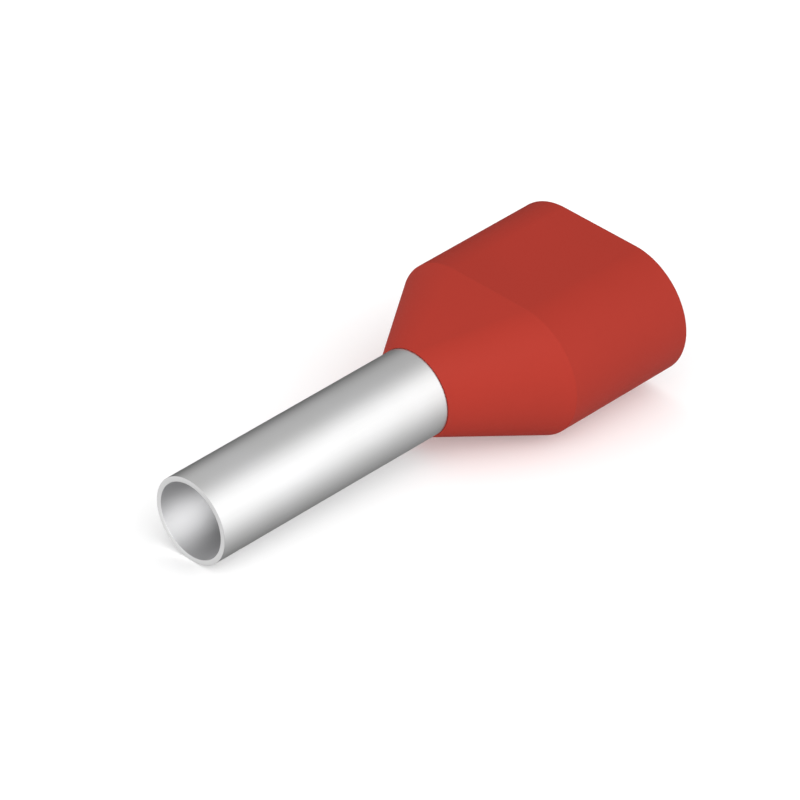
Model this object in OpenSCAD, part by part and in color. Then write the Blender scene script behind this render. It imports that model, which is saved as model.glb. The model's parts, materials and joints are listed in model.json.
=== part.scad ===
// Twin wire ferrule: a plated copper sleeve held in a moulded oblong collar.
// The sleeve lies along X. X = 0 is the collar's front edge, -X the sleeve's open tip and
// +X the mouth where two wires go in side by side. Y runs across the collar and Z is up.

/* [Sleeve] */
// Inside diameter of the sleeve, which takes both bared conductors
sleeve_bore = 2.2; // [1.9:0.05:2.4]
// Wall of the sleeve
sleeve_wall = 0.15; // [0.1:0.01:0.2]
// Length of sleeve that stands out of the collar
sleeve_reach = 8; // [6:0.5:12]
// Straight length of sleeve held inside the collar, up to its flare
sleeve_grip = 0.4; // [0.2:0.05:0.6]
// Length of the flare that keeps the sleeve from pulling out forwards
flare_length = 1.3; // [0.8:0.05:1.6]
// How far the flare's rim stands out past the straight wall
flare_rise = 0.2; // [0.1:0.01:0.26]
// Broken edges of the sleeve's cut tip
tip_break = 0.02; // [0.01:0.005:0.04]

/* [Collar] */
// Width of the collar, across the two wires
collar_width = 6.4; // [5.6:0.1:7.6]
// Height of the collar, across one wire
collar_height = 3.8; // [3.6:0.1:4.8]
// Wall of the collar around the wires
collar_wall = 0.3; // [0.2:0.02:0.4]
// Length of the taper, from the front edge to the shoulder
taper_length = 2.8; // [2.4:0.1:4]
// Length of the straight oblong part, from the shoulder to the mouth
straight_length = 4.2; // [2.5:0.1:7]
// Thickness of the collar's front edge, around the sleeve
front_lip = 0.03; // [0.02:0.01:0.12]
// How far the inside shoulder lies behind the outside one
shoulder_setback = 0.1; // [0:0.02:0.3]
// Lead-in chamfer around the inside of the mouth
mouth_chamfer = 0.1; // [0.04:0.01:0.16]

/* [Fit] */
// Gap all round between the sleeve and its seat in the collar
seat_gap = 0.005; // [0.005:0.005:0.03]

/* [Hidden] */

// Segments of the round faces, and of the circles that a loft runs between
$fn = 96;
loft_fn = 64;
// Thickness of the two plates that a loft runs between
plate_thickness = 0.001;
// How far a cut runs past the face it opens
overrun = 1;

bore_r = sleeve_bore / 2;
sleeve_r = bore_r + sleeve_wall;
flare_end = sleeve_grip + flare_length;

seat_r = sleeve_r + seat_gap;
seat_flare_r = seat_r + flare_rise;
front_r = seat_r + front_lip;
mouth_x = taper_length + straight_length;
inner_shoulder = taper_length + shoulder_setback;
cavity_width = collar_width - 2 * collar_wall;
cavity_height = collar_height - 2 * collar_wall;

// Lays what is drawn upwards along +X, starting at x
module along_x(x = 0) {
    translate([x, 0, 0]) rotate([90, 0, 90]) children();
}

// Oblong with fully round ends
module oblong(width, height) {
    spread = (width - height) / 2;
    for (side = [-1, 1]) translate([side * spread, 0]) circle(d = height);
    square([2 * spread, height], center = true);
}

// Oblong bar from one x to another
module oblong_bar(from_x, to_x, width, height) {
    along_x(from_x) linear_extrude(to_x - from_x) oblong(width, height);
}

// Ruled loft from a circle at one x to an oblong at another
module round_to_oblong(from_x, to_x, radius, width, height) {
    hull() {
        along_x(from_x) cylinder(r = radius, h = plate_thickness);
        oblong_bar(to_x - plate_thickness, to_x, width, height);
    }
}

// Oblong that grows by the same amount on every side: two cones and the wedge between them
module growing_oblong(from_x, to_x, width, height, growth) {
    spread = (width - height) / 2;
    half = height / 2;
    for (side = [-1, 1])
        translate([0, side * spread, 0])
            along_x(from_x) cylinder(r1 = half, r2 = half + growth, h = to_x - from_x);
    rotate([90, 0, 0]) linear_extrude(2 * spread, center = true)
        polygon([
            [from_x, -half],
            [to_x, -half - growth],
            [to_x, half + growth],
            [from_x, half],
        ]);
}

// Drawn tube: straight from its tip into the collar, then flared to a rim that seats there
module sleeve() {
    color("silver")
        along_x() rotate_extrude()
            polygon([
                [bore_r, tip_break - sleeve_reach],
                [bore_r + tip_break, -sleeve_reach],
                [sleeve_r - tip_break, -sleeve_reach],
                [sleeve_r, tip_break - sleeve_reach],
                [sleeve_r, sleeve_grip],
                [sleeve_r + flare_rise, flare_end],
                [bore_r + flare_rise, flare_end],
                [bore_r, sleeve_grip],
            ]);
}

// Seat of the sleeve: a bore, and the cone that its flare draws up against
module sleeve_seat() {
    along_x(-overrun) cylinder(r = seat_r, h = overrun + sleeve_grip);
    along_x(sleeve_grip) cylinder(r1 = seat_r, r2 = seat_flare_r, h = flare_length);
}

// Space for the wires: the funnel behind the flare, the oblong room and its chamfered mouth
module wire_space() {
    round_to_oblong(flare_end, inner_shoulder, seat_flare_r, cavity_width, cavity_height, $fn = loft_fn);
    oblong_bar(inner_shoulder, mouth_x + overrun, cavity_width, cavity_height);
    growing_oblong(mouth_x - mouth_chamfer, mouth_x, cavity_width, cavity_height, mouth_chamfer);
}

// Moulded collar: tapers out from the round sleeve to an oblong over the two wires
module collar() {
    color("#b23c32")
        difference() {
            union() {
                round_to_oblong(0, taper_length, front_r, collar_width, collar_height, $fn = loft_fn);
                oblong_bar(taper_length, mouth_x, collar_width, collar_height);
            }
            sleeve_seat();
            wire_space();
        }
}

sleeve();
collar();
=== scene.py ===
"""Looks of a twin wire ferrule: a bright tin-plated sleeve held in a moulded red collar.

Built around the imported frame, in metres. The sleeve lies along X with its tip towards -X, the two
wires go in from +X, and Z is up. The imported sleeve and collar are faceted, so both are made again
here as smooth meshes of the same form, and stand for them.
"""

import json
import math

import bpy
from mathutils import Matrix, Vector


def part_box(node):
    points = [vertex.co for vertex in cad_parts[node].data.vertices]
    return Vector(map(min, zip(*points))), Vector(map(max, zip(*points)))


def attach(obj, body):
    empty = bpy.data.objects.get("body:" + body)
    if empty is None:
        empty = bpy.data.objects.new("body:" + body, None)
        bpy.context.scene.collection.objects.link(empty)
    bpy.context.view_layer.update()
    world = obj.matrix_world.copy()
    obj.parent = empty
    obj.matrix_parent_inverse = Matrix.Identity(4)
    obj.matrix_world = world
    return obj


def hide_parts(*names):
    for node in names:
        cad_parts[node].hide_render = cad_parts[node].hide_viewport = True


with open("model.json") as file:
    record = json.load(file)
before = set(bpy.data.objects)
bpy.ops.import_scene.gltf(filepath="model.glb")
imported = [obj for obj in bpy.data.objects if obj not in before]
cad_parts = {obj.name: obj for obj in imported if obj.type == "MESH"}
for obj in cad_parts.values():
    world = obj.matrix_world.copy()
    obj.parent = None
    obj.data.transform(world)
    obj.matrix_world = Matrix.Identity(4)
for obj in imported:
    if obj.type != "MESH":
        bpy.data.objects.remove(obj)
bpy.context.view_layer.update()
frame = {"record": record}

MM = 0.001

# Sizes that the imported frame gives
mounts = {mount["name"]: mount for mount in frame["record"]["mounts"]}
sleeve_low, sleeve_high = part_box("sleeve")
collar_low, collar_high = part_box("collar")

bore_radius = mounts["conductor_bore"]["dims"]["r_mm"] * MM
tube_radius = mounts["terminal_pin"]["dims"]["r_mm"] * MM
tip_x = sleeve_low.x
flare_end_x = sleeve_high.x
flare_rise = sleeve_high.z - tube_radius
mouth_x = collar_high.x
half_height = collar_high.z
spread = collar_high.y - collar_high.z

# Sizes that it doesn't give, as the solids have them
grip_x = 0.4 * MM
shoulder_x = 2.8 * MM
inner_shoulder_x = 2.9 * MM
collar_wall = 0.3 * MM
front_lip = 0.03 * MM
mouth_chamfer = 0.1 * MM
seat_gap = 0.005 * MM

# Round edges and bends, which the solids leave sharp
cut_edge = 0.006 * MM
bore_edge = 0.0015 * MM
flare_bend = 0.3 * MM
lip_edge = 0.005 * MM
shoulder_edge = 0.06 * MM
mouth_edge = 0.05 * MM

# Fineness of the meshes
FACETS_ROUND = 192
POINTS_PER_EDGE = 7
MERGE_DISTANCE = 0.0002 * MM


# Nodes and colours

# Where most values of a noise texture lie
NOISE_LOW = 0.3
NOISE_HIGH = 0.7


def feed(tree, socket, value):
    """Links the input to another socket, or sets it to a constant."""
    if isinstance(value, bpy.types.NodeSocket):
        tree.links.new(value, socket)
    else:
        socket.default_value = value


def add_node(tree, kind, inputs=None, **settings):
    """Adds a node, sets its properties, and sets or links its inputs by name or number."""
    node = tree.nodes.new(kind)
    for name, value in settings.items():
        setattr(node, name, value)
    for name, value in (inputs or {}).items():
        feed(tree, node.inputs[name], value)
    return node


def linear(colour):
    """Linear RGBA of an sRGB hex colour such as "#a0b0c0"."""
    channels = [int(colour[i : i + 2], 16) / 255 for i in (1, 3, 5)]
    return [c / 12.92 if c <= 0.04045 else ((c + 0.055) / 1.055) ** 2.4 for c in channels] + [1]


# Materials


def tin_plate():
    """Bright tin plating on drawn copper tube: a pale satin metal that mirrors the studio softly.

    Drawing the tube leaves faint lines along it, about 0.02 mm apart on the real one and drawn
    twice as wide here to show. The plating is a little cloudy, in patches of about a millimetre.
    The bore is rougher and duller, and its tin is painted darker there as painted shade in the bore.
    """
    draw_line = 0.045 * MM
    # The lines' noise runs this much slower along the tube than across it
    line_stretch = 0.02
    line_depth = 0.001 * MM
    cloud = 1.2 * MM
    satin_low, satin_high = 0.34, 0.4
    bore_roughness = 0.65

    material = bpy.data.materials.new("bright_tin_plate")
    material.use_nodes = True
    tree = material.node_tree
    shader = tree.nodes["Principled BSDF"]
    shader.inputs["Metallic"].default_value = 1
    place = add_node(tree, "ShaderNodeTexCoord").outputs["Object"]

    along = add_node(tree, "ShaderNodeMapping", {"Vector": place, "Scale": (line_stretch, 1, 1)})
    lines = add_node(
        tree, "ShaderNodeTexNoise",
        {"Vector": along.outputs[0], "Scale": 1 / draw_line, "Detail": 2.0, "Roughness": 0.6},
    )
    clouds = add_node(
        tree, "ShaderNodeTexNoise", {"Vector": place, "Scale": 1 / cloud, "Detail": 3.0}
    )
    tone = add_node(
        tree, "ShaderNodeMix",
        {"Factor": clouds.outputs["Fac"], "A": linear("#cfcfce"), "B": linear("#d6d6d7")},
        data_type="RGBA",
    )
    satin = add_node(
        tree, "ShaderNodeMapRange",
        {
            "Value": lines.outputs["Fac"],
            "From Min": NOISE_LOW,
            "From Max": NOISE_HIGH,
            "To Min": satin_low,
            "To Max": satin_high,
        },
    )
    # 1 on the wall of the bore, 0 outside the tube and on its cut edge
    across = add_node(
        tree, "ShaderNodeVectorMath", {0: place, 1: (0, 1, 1)}, operation="MULTIPLY"
    )
    radius = add_node(tree, "ShaderNodeVectorMath", {0: across.outputs[0]}, operation="LENGTH")
    inside = add_node(
        tree, "ShaderNodeMapRange",
        {
            "Value": radius.outputs["Value"],
            "From Min": bore_radius + bore_edge,
            "From Max": bore_radius + 2 * bore_edge,
            "To Min": 1.0,
            "To Max": 0.0,
        },
    )
    # Uneven tin tone outside; on the bore wall a darker colour, painted shade in the bore
    tone_and_bore_shade = add_node(
        tree, "ShaderNodeMix",
        {"Factor": inside.outputs[0], "A": tone.outputs["Result"], "B": linear("#c6c6c7")},
        data_type="RGBA",
    )
    roughness = add_node(
        tree, "ShaderNodeMix",
        {"Factor": inside.outputs[0], "A": satin.outputs[0], "B": bore_roughness},
    )
    bump = add_node(
        tree, "ShaderNodeBump",
        {"Height": lines.outputs["Fac"], "Strength": 0.5, "Distance": line_depth},
    )
    tree.links.new(tone_and_bore_shade.outputs["Result"], shader.inputs["Base Color"])
    tree.links.new(roughness.outputs["Result"], shader.inputs["Roughness"])
    tree.links.new(bump.outputs["Normal"], shader.inputs["Normal"])
    return material


def polypropylene():
    """Injection-moulded polypropylene, pigmented red: a soft, waxy half-gloss with no sharp glints.

    The mould's spark-eroded face leaves a grain of about 0.06 mm, too shallow to cast a shadow,
    and the pigment is a shade uneven over a few millimetres.
    """
    grain = 0.06 * MM
    grain_depth = 0.002 * MM
    pigment_cloud = 2.5 * MM
    waxy_low, waxy_high = 0.46, 0.54

    material = bpy.data.materials.new("red_polypropylene")
    material.use_nodes = True
    tree = material.node_tree
    shader = tree.nodes["Principled BSDF"]
    shader.inputs["IOR"].default_value = 1.49
    shader.inputs["Specular IOR Level"].default_value = 0.05
    place = add_node(tree, "ShaderNodeTexCoord").outputs["Object"]

    clouds = add_node(
        tree, "ShaderNodeTexNoise", {"Vector": place, "Scale": 1 / pigment_cloud, "Detail": 2.0}
    )
    tone = add_node(
        tree, "ShaderNodeMix",
        {"Factor": clouds.outputs["Fac"], "A": linear("#953026"), "B": linear("#9c3127")},
        data_type="RGBA",
    )
    grains = add_node(
        tree, "ShaderNodeTexNoise", {"Vector": place, "Scale": 1 / grain, "Detail": 2.0}
    )
    roughness = add_node(
        tree, "ShaderNodeMapRange",
        {
            "Value": grains.outputs["Fac"],
            "From Min": NOISE_LOW,
            "From Max": NOISE_HIGH,
            "To Min": waxy_low,
            "To Max": waxy_high,
        },
    )
    bump = add_node(
        tree, "ShaderNodeBump",
        {"Height": grains.outputs["Fac"], "Strength": 0.4, "Distance": grain_depth},
    )
    tree.links.new(tone.outputs["Result"], shader.inputs["Base Color"])
    tree.links.new(roughness.outputs["Result"], shader.inputs["Roughness"])
    tree.links.new(bump.outputs["Normal"], shader.inputs["Normal"])
    return material


def matte_board():
    """Plain white board for the floor, with a fine tooth and no gloss."""
    tooth = 0.4 * MM
    tooth_depth = 0.01 * MM

    material = bpy.data.materials.new("matte_board")
    material.use_nodes = True
    tree = material.node_tree
    shader = tree.nodes["Principled BSDF"]
    shader.inputs["Base Color"].default_value = linear("#fafafa")
    shader.inputs["Roughness"].default_value = 0.9
    shader.inputs["Specular IOR Level"].default_value = 0.1
    place = add_node(tree, "ShaderNodeTexCoord").outputs["Object"]
    paper = add_node(tree, "ShaderNodeTexNoise", {"Vector": place, "Scale": 1 / tooth})
    bump = add_node(
        tree, "ShaderNodeBump",
        {"Height": paper.outputs["Fac"], "Strength": 0.1, "Distance": tooth_depth},
    )
    tree.links.new(bump.outputs["Normal"], shader.inputs["Normal"])
    return material


# Shapes: a wall's section swept round an oblong


def new_tree(name, sizes):
    """A geometry tree with one named input for each size, and its group input node."""
    tree = bpy.data.node_groups.new(name, "GeometryNodeTree")
    for label, value in sizes.items():
        kind = "NodeSocketInt" if isinstance(value, int) else "NodeSocketFloat"
        tree.interface.new_socket(label, in_out="INPUT", socket_type=kind)
    tree.interface.new_socket("Geometry", in_out="OUTPUT", socket_type="NodeSocketGeometry")
    return tree, tree.nodes.new("NodeGroupInput").outputs


def sweep(tree, corners, facets, edge_points, material):
    """Ends the tree with a closed wall, swept round the X axis.

    Each corner of the wall's section is (x, spread, radius, edge radius). At that corner the
    wall runs round an oblong: two half circles of the radius, set a spread either side of the
    middle, and straight between them. A spread of 0 is a plain circle.
    """
    point = add_node(tree, "GeometryNodeInputIndex").outputs[0]
    places = add_node(tree, "GeometryNodeIndexSwitch", data_type="VECTOR")
    edges = add_node(tree, "GeometryNodeIndexSwitch", data_type="FLOAT")
    for switch in (places, edges):
        tree.links.new(point, switch.inputs["Index"])
        while len(switch.index_switch_items) < len(corners):
            switch.index_switch_items.new()
    # A switch's first input is its index, so its items come one place later
    for item, (x, half_spread, radius, edge) in enumerate(corners, start=1):
        place = add_node(tree, "ShaderNodeCombineXYZ", {0: x, 1: half_spread, 2: radius})
        feed(tree, places.inputs[item], place.outputs[0])
        feed(tree, edges.inputs[item], edge)

    # The section, as a closed curve whose Y is the spread and Z the radius
    line = add_node(tree, "GeometryNodeMeshLine", {"Count": len(corners)})
    open_curve = add_node(tree, "GeometryNodeMeshToCurve", {"Mesh": line.outputs[0]})
    placed = add_node(
        tree, "GeometryNodeSetPosition",
        {"Geometry": open_curve.outputs[0], "Position": places.outputs[0]},
    )
    closed = add_node(
        tree, "GeometryNodeSetSplineCyclic", {"Geometry": placed.outputs[0], "Cyclic": True}
    )
    section = add_node(
        tree, "GeometryNodeFilletCurve",
        {
            "Curve": closed.outputs[0],
            "Count": edge_points,
            "Radius": edges.outputs[0],
            "Limit Radius": True,
        },
        mode="POLY",
    )
    size = add_node(
        tree, "GeometryNodeAttributeDomainSize", {"Geometry": section.outputs[0]}, component="CURVE"
    )

    # A grid, closed both ways: one row of points round the oblong for each point of the section.
    # Each half turn has a column at both its ends, which makes two more columns than facets.
    rows = size.outputs["Point Count"]
    rows_closed = add_node(tree, "ShaderNodeMath", {0: rows, 1: 1}, operation="ADD").outputs[0]
    columns = add_node(tree, "ShaderNodeMath", {0: facets, 1: 2}, operation="ADD").outputs[0]
    columns_closed = add_node(tree, "ShaderNodeMath", {0: columns, 1: 1}, operation="ADD").outputs[0]
    grid = add_node(
        tree, "GeometryNodeMeshGrid", {"Vertices X": columns_closed, "Vertices Y": rows_closed}
    )
    share = add_node(tree, "ShaderNodeMath", {0: point, 1: rows_closed}, operation="DIVIDE").outputs[0]
    column = add_node(tree, "ShaderNodeMath", {0: share}, operation="FLOOR").outputs[0]
    turn = add_node(tree, "ShaderNodeMath", {0: column, 1: columns}, operation="MODULO").outputs[0]
    row = add_node(tree, "ShaderNodeMath", {0: point, 1: rows_closed}, operation="MODULO").outputs[0]
    corner = add_node(tree, "ShaderNodeMath", {0: row, 1: rows}, operation="MODULO").outputs[0]
    position = add_node(tree, "GeometryNodeInputPosition").outputs[0]
    sample = add_node(
        tree, "GeometryNodeSampleIndex",
        {"Geometry": section.outputs[0], "Value": position, "Index": corner},
        data_type="FLOAT_VECTOR",
    )
    x, half_spread, radius = add_node(
        tree, "ShaderNodeSeparateXYZ", {0: sample.outputs[0]}
    ).outputs

    # The first half of the turn is round the +Y end, the second round the -Y end
    half = add_node(tree, "ShaderNodeMath", {0: facets, 1: 2}, operation="DIVIDE").outputs[0]
    second = add_node(tree, "ShaderNodeMath", {0: turn, 1: half}, operation="GREATER_THAN").outputs[0]
    step = add_node(tree, "ShaderNodeMath", {0: turn, 1: second}, operation="SUBTRACT").outputs[0]
    share_turned = add_node(tree, "ShaderNodeMath", {0: step, 1: facets}, operation="DIVIDE").outputs[0]
    angle = add_node(
        tree, "ShaderNodeMath", {0: share_turned, 1: 2 * math.pi, 2: -math.pi / 2},
        operation="MULTIPLY_ADD",
    ).outputs[0]
    side = add_node(
        tree, "ShaderNodeMath", {0: second, 1: -2, 2: 1}, operation="MULTIPLY_ADD"
    ).outputs[0]
    centre = add_node(tree, "ShaderNodeMath", {0: side, 1: half_spread}, operation="MULTIPLY").outputs[0]
    cosine = add_node(tree, "ShaderNodeMath", {0: angle}, operation="COSINE").outputs[0]
    sine = add_node(tree, "ShaderNodeMath", {0: angle}, operation="SINE").outputs[0]
    y = add_node(
        tree, "ShaderNodeMath", {0: radius, 1: cosine, 2: centre}, operation="MULTIPLY_ADD"
    ).outputs[0]
    z = add_node(tree, "ShaderNodeMath", {0: radius, 1: sine}, operation="MULTIPLY").outputs[0]
    around = add_node(tree, "ShaderNodeCombineXYZ", {0: x, 1: y, 2: z})

    swept = add_node(
        tree, "GeometryNodeSetPosition", {"Geometry": grid.outputs[0], "Position": around.outputs[0]}
    )
    merged = add_node(
        tree, "GeometryNodeMergeByDistance",
        {"Geometry": swept.outputs[0], "Distance": MERGE_DISTANCE},
    )
    smooth = add_node(tree, "GeometryNodeSetShadeSmooth", {"Geometry": merged.outputs[0]})
    realized = add_node(tree, "GeometryNodeRealizeInstances", {"Geometry": smooth.outputs[0]})
    coated = add_node(
        tree, "GeometryNodeSetMaterial", {"Geometry": realized.outputs[0], "Material": material}
    )
    add_node(tree, "NodeGroupOutput", {"Geometry": coated.outputs[0]})


def bake_tree(name, tree, sizes):
    """Runs the tree with these sizes and keeps what it makes as a plain mesh."""
    scratch = bpy.data.objects.new(name + "_tree", bpy.data.meshes.new(name + "_tree"))
    bpy.context.scene.collection.objects.link(scratch)
    modifier = scratch.modifiers.new("tree", "NODES")
    modifier.node_group = tree
    for item in tree.interface.items_tree:
        if item.in_out == "INPUT":
            modifier[item.identifier] = sizes[item.name]
    # Big faces keep their own direction, so that only the round edges shade as a turn
    weighted = scratch.modifiers.new("weighted", "WEIGHTED_NORMAL")
    weighted.keep_sharp = True
    evaluated = scratch.evaluated_get(bpy.context.evaluated_depsgraph_get())
    mesh = bpy.data.meshes.new_from_object(evaluated)
    # The scratch mesh's own empty slot comes before the tree's material
    mesh.materials.pop(index=0)
    piece = bpy.data.objects.new(name, mesh)
    bpy.context.scene.collection.objects.link(piece)
    bpy.data.objects.remove(scratch)
    return piece


def sleeve_tube(material):
    """Drawn tube: straight from its cut tip into the collar, then flared to its rim."""
    sizes = {
        "Tip": tip_x,
        "Flare start": grip_x,
        "Flare end": flare_end_x,
        "Bore radius": bore_radius,
        "Wall": tube_radius - bore_radius,
        "Flare rise": flare_rise,
        "Cut edge": cut_edge,
        "Bore edge": bore_edge,
        "Flare bend": flare_bend,
        "Facets": FACETS_ROUND,
        "Points per edge": POINTS_PER_EDGE,
    }
    tree, size = new_tree("drawn_tube", sizes)
    inner, rise = size["Bore radius"], size["Flare rise"]
    outer = add_node(tree, "ShaderNodeMath", {0: inner, 1: size["Wall"]}, operation="ADD").outputs[0]
    rim_inner = add_node(tree, "ShaderNodeMath", {0: inner, 1: rise}, operation="ADD").outputs[0]
    rim_outer = add_node(tree, "ShaderNodeMath", {0: outer, 1: rise}, operation="ADD").outputs[0]
    corners = [
        (size["Tip"], 0, inner, size["Bore edge"]),
        (size["Tip"], 0, outer, size["Cut edge"]),
        (size["Flare start"], 0, outer, size["Flare bend"]),
        (size["Flare end"], 0, rim_outer, size["Cut edge"]),
        (size["Flare end"], 0, rim_inner, size["Bore edge"]),
        (size["Flare start"], 0, inner, size["Flare bend"]),
    ]
    sweep(tree, corners, size["Facets"], size["Points per edge"], material)
    return bake_tree("sleeve_tube", tree, sizes)


def collar_shell(material):
    """Moulded collar: a taper from the round sleeve out to an oblong, hollow for two wires."""
    sizes = {
        "Seat start": grip_x,
        "Seat end": flare_end_x,
        "Seat radius": tube_radius + seat_gap,
        "Flare rise": flare_rise,
        "Front lip": front_lip,
        "Shoulder": shoulder_x,
        "Inner shoulder": inner_shoulder_x,
        "Mouth": mouth_x,
        "Mouth chamfer": mouth_chamfer,
        "Spread": spread,
        "Half height": half_height,
        "Wall": collar_wall,
        "Lip edge": lip_edge,
        "Shoulder edge": shoulder_edge,
        "Mouth edge": mouth_edge,
        "Facets": FACETS_ROUND,
        "Points per edge": POINTS_PER_EDGE,
    }
    tree, size = new_tree("moulded_collar", sizes)
    mouth, across, outer = size["Mouth"], size["Spread"], size["Half height"]
    front = add_node(
        tree, "ShaderNodeMath", {0: size["Seat radius"], 1: size["Front lip"]}, operation="ADD"
    ).outputs[0]
    seat_rim = add_node(
        tree, "ShaderNodeMath", {0: size["Seat radius"], 1: size["Flare rise"]}, operation="ADD"
    ).outputs[0]
    room = add_node(tree, "ShaderNodeMath", {0: outer, 1: size["Wall"]}, operation="SUBTRACT").outputs[0]
    lead_in = add_node(
        tree, "ShaderNodeMath", {0: room, 1: size["Mouth chamfer"]}, operation="ADD"
    ).outputs[0]
    lead_in_x = add_node(
        tree, "ShaderNodeMath", {0: mouth, 1: size["Mouth chamfer"]}, operation="SUBTRACT"
    ).outputs[0]
    corners = [
        (0, 0, size["Seat radius"], size["Lip edge"]),
        (0, 0, front, size["Lip edge"]),
        (size["Shoulder"], across, outer, size["Shoulder edge"]),
        (mouth, across, outer, size["Mouth edge"]),
        (mouth, across, lead_in, size["Mouth edge"]),
        (lead_in_x, across, room, size["Mouth edge"]),
        (size["Inner shoulder"], across, room, size["Shoulder edge"]),
        (size["Seat end"], 0, seat_rim, size["Lip edge"]),
        (size["Seat start"], 0, size["Seat radius"], size["Shoulder edge"]),
    ]
    sweep(tree, corners, size["Facets"], size["Points per edge"], material)
    return bake_tree("collar_shell", tree, sizes)


# Camera, floor and light


def direction(azimuth, elevation):
    """Unit vector from the object towards a viewer or a light, for angles in degrees."""
    turn = math.radians(azimuth)
    tilt = math.radians(elevation)
    return Vector((
        math.sin(turn) * math.cos(tilt), -math.cos(turn) * math.cos(tilt), math.sin(tilt)
    ))


def place_camera():
    """Isometric view onto the tip, the left side and the top, from far off with a long lens."""
    azimuth, elevation = -45, math.degrees(math.atan(math.sqrt(0.5)))
    distance = 172.6 * MM
    # Where the middle of the picture lies, seen from the middle of the collar's front edge
    aim_right, aim_up = -0.355 * MM, -0.2 * MM

    data = bpy.data.cameras.new("camera")
    data.sensor_width = 36
    data.lens = 298.5
    data.clip_start = 0.001
    data.clip_end = 10
    camera = bpy.data.objects.new("camera", data)
    bpy.context.scene.collection.objects.link(camera)
    back = direction(azimuth, elevation)
    turn = (-back).to_track_quat("-Z", "Y")
    aim = turn @ Vector((aim_right, aim_up, 0))
    camera.rotation_mode = "QUATERNION"
    camera.rotation_quaternion = turn
    camera.location = aim + back * distance
    bpy.context.scene.camera = camera


def lay_floor(material):
    """Floor plane that the part lies on.

    The heavy sleeve tips the part forward. The part stays level here, so the floor slopes up by
    3 degrees from under the collar's shoulder to meet the sleeve's tip.
    """
    half_size = 2000 * MM
    slope = (collar_low.z + tube_radius) / (shoulder_x - tip_x)

    mesh = bpy.data.meshes.new("floor")
    points = [
        (x, y, collar_low.z + slope * (x - shoulder_x))
        for x, y in (
            (-half_size, -half_size),
            (half_size, -half_size),
            (half_size, half_size),
            (-half_size, half_size),
        )
    ]
    mesh.from_pydata(points, [], [(0, 1, 2, 3)])
    mesh.materials.append(material)
    floor = bpy.data.objects.new("floor", mesh)
    bpy.context.scene.collection.objects.link(floor)
    # Mirrored from this near, a white floor would wash out the shaded side of the sleeve
    floor.visible_glossy = False
    return floor


def light_room():
    """A pale room with soft windows: the brightest on the left, with others all round and above.

    Each glow is (azimuth, elevation, sharpness, radiance). It is brightest in its own direction
    and fades evenly all round, faster with more sharpness, so it leaves no hard edge in the metal.
    Glows from below are seen only in the metal's mirror image, where they stand for the floor.
    """
    glows = [
        (-105, 5, 5, 1.62),
        (15, 5, 5, 1.25),
        (-45, 40, 5, 1.22),
        (45, 40, 5, 1.35),
        (165, 40, 5, 0.82),
        (0, 90, 4, 0.49),
        (-150, -35, 5, 0.92),
        (30, -35, 5, 0.48),
        (90, -35, 5, 0.38),
    ]
    world = bpy.data.worlds.new("room")
    world.use_nodes = True
    # Rays that bounce find the room. Rays sent straight to it would be stopped by the floor, even
    # those that a mirror image is meant to find beyond it.
    world.cycles.sampling_method = "NONE"
    tree = world.node_tree
    way = add_node(tree, "ShaderNodeTexCoord").outputs["Generated"]
    total = 0.0
    for azimuth, elevation, sharpness, radiance in glows:
        towards = add_node(
            tree, "ShaderNodeVectorMath", {0: way, 1: direction(azimuth, elevation)},
            operation="DOT_PRODUCT",
        )
        facing = add_node(
            tree, "ShaderNodeMath", {0: towards.outputs["Value"], 1: 0.0}, operation="MAXIMUM"
        )
        glow = add_node(
            tree, "ShaderNodeMath", {0: facing.outputs[0], 1: sharpness}, operation="POWER"
        )
        total = add_node(
            tree, "ShaderNodeMath", {0: glow.outputs[0], 1: radiance, 2: total},
            operation="MULTIPLY_ADD",
        ).outputs[0]
    tree.links.new(total, tree.nodes["Background"].inputs["Strength"])
    tree.nodes["Background"].inputs["Color"].default_value = linear("#ffffff")
    bpy.context.scene.world = world


def light_only(lamp, lit):
    """Flags a lamp off all but one object, which alone is lit by it and casts shadows in it."""
    flagged = bpy.data.collections.new(lamp.name)
    flagged.objects.link(lit)
    lamp.light_linking.receiver_collection = flagged
    lamp.light_linking.blocker_collection = flagged


def add_flagged_sun(name, away, angle_across, energy, lit):
    """Sun for one object alone, soft by the angle that it fills in the sky."""
    lamp = bpy.data.lights.new(name, "SUN")
    lamp.energy = energy
    lamp.angle = math.radians(angle_across)
    sun = bpy.data.objects.new(name, lamp)
    bpy.context.scene.collection.objects.link(sun)
    sun.rotation_euler = (-away).to_track_quat("-Z", "Y").to_euler()
    light_only(sun, lit)


def aim_snoot(lit):
    """Narrow soft beam for the sleeve alone, so that its bore isn't a black hole.

    It goes in at the tip, onto the lower wall of the bore, on the left as the camera sees it.
    """
    depth = 0.6 * MM
    lit_angle = math.radians(-37)
    away = direction(-60, 18)
    distance = 100 * MM

    lamp = bpy.data.lights.new("snoot", "SPOT")
    lamp.energy = 2.4
    lamp.spot_size = math.radians(1)
    lamp.spot_blend = 1
    lamp.shadow_soft_size = 0.4 * MM
    snoot = bpy.data.objects.new("snoot", lamp)
    bpy.context.scene.collection.objects.link(snoot)
    lit_wall = Vector((
        tip_x + depth, bore_radius * math.cos(lit_angle), bore_radius * math.sin(lit_angle)
    ))
    snoot.location = lit_wall + away * distance
    snoot.rotation_euler = (-away).to_track_quat("-Z", "Y").to_euler()
    light_only(snoot, lit)


# The object

bpy.context.scene.view_settings.view_transform = "Standard"
place_camera()

tube = sleeve_tube(tin_plate())
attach(tube, "root")
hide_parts("sleeve")

shell = collar_shell(polypropylene())
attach(shell, "root")
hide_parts("collar")

floor = lay_floor(matte_board())
light_room()
# Even light from above keeps the floor white under the part
add_flagged_sun("sweep_lamp", direction(0, 90), angle_across=0, energy=0.8, lit=floor)
# A broad lamp beyond the tip models the taper, and is kept off the sleeve, which it would bleach
add_flagged_sun("collar_lamp", direction(-75, 40), angle_across=50, energy=1.68, lit=shell)
aim_snoot(tube)
